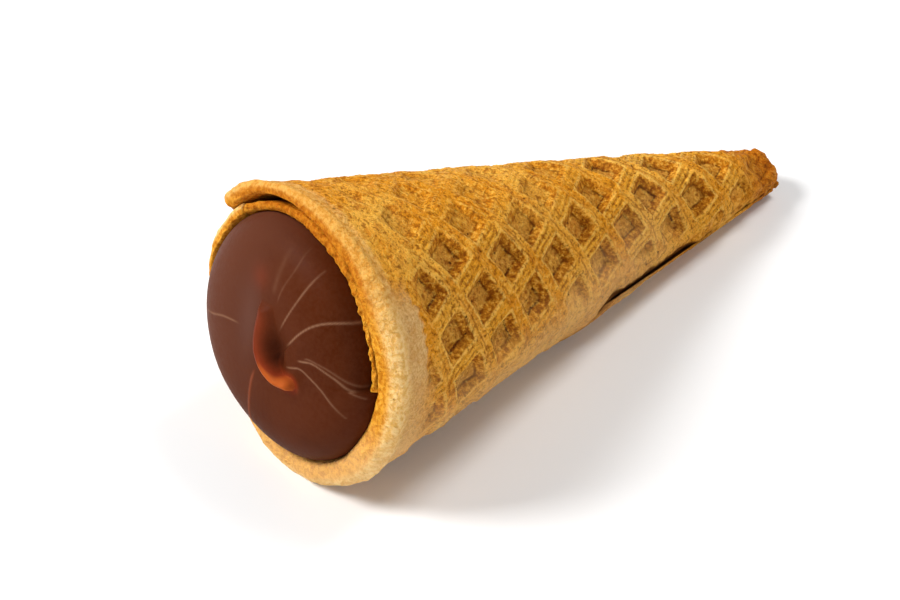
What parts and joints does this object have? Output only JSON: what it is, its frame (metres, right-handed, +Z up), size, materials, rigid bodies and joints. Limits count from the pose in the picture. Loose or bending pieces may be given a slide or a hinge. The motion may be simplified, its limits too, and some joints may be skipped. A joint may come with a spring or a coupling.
{
  "type": "chocolate-filled rolled wafer cone",
  "caption": "Small rolled wafer cone with a pressed lattice, filled with chocolate that is domed at the mouth and drawn into a fallen hooked peak; it lies on its side.",
  "frame": {"origin": "middle of the bounding box in plan, at the level of the surface the cone lies on", "axes": "+Z up from the surface it lies on; +Y from the mouth toward the tip; +X to the right seen from the mouth"},
  "size_m": [0.0286, 0.0716, 0.0288],
  "materials": {
    "wafer": "baked crisp wafer, matte",
    "chocolate": "set milk chocolate, satin"
  },
  "bodies": {
    "root": {"wafer_cone": "wafer", "chocolate_filling": "chocolate"}
  },
  "joints": []
}
